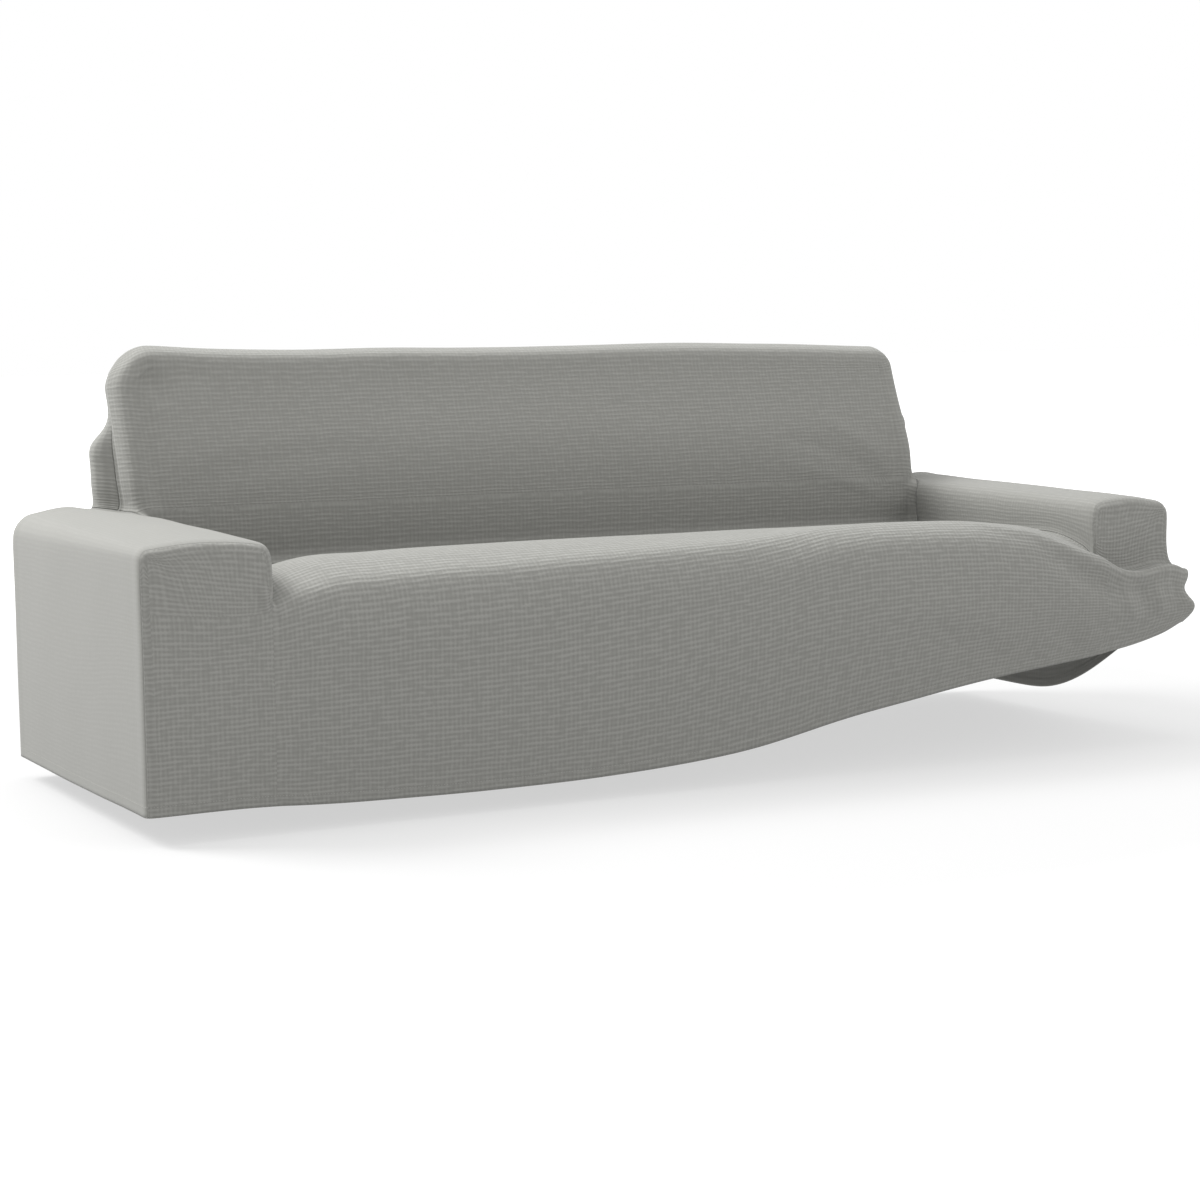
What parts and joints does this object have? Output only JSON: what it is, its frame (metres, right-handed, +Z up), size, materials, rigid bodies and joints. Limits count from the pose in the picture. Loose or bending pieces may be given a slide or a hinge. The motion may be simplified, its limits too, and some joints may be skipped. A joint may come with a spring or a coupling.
{
  "type": "sofa slipcover",
  "caption": "Fitted stretch slipcover for a three-seat sofa, hollow underneath, with box arms, a seat, a tall back and one slack raised front corner.",
  "frame": {"origin": "under the middle of the cover's top edge, where the top of the sofa's back carries the cloth", "axes": "+X along the sofa to the right as seen from the front, +Y from the front to the rear, +Z up"},
  "size_m": [2.4091, 0.9375, 0.8638],
  "materials": {
    "cover_cloth": "matt grey stretch knit with a fine raised crepe check"
  },
  "bodies": {
    "root": {"seat_and_front": "cover_cloth", "arm_left": "cover_cloth", "arm_right": "cover_cloth", "inside_back": "cover_cloth", "outside_back": "cover_cloth"}
  },
  "joints": []
}
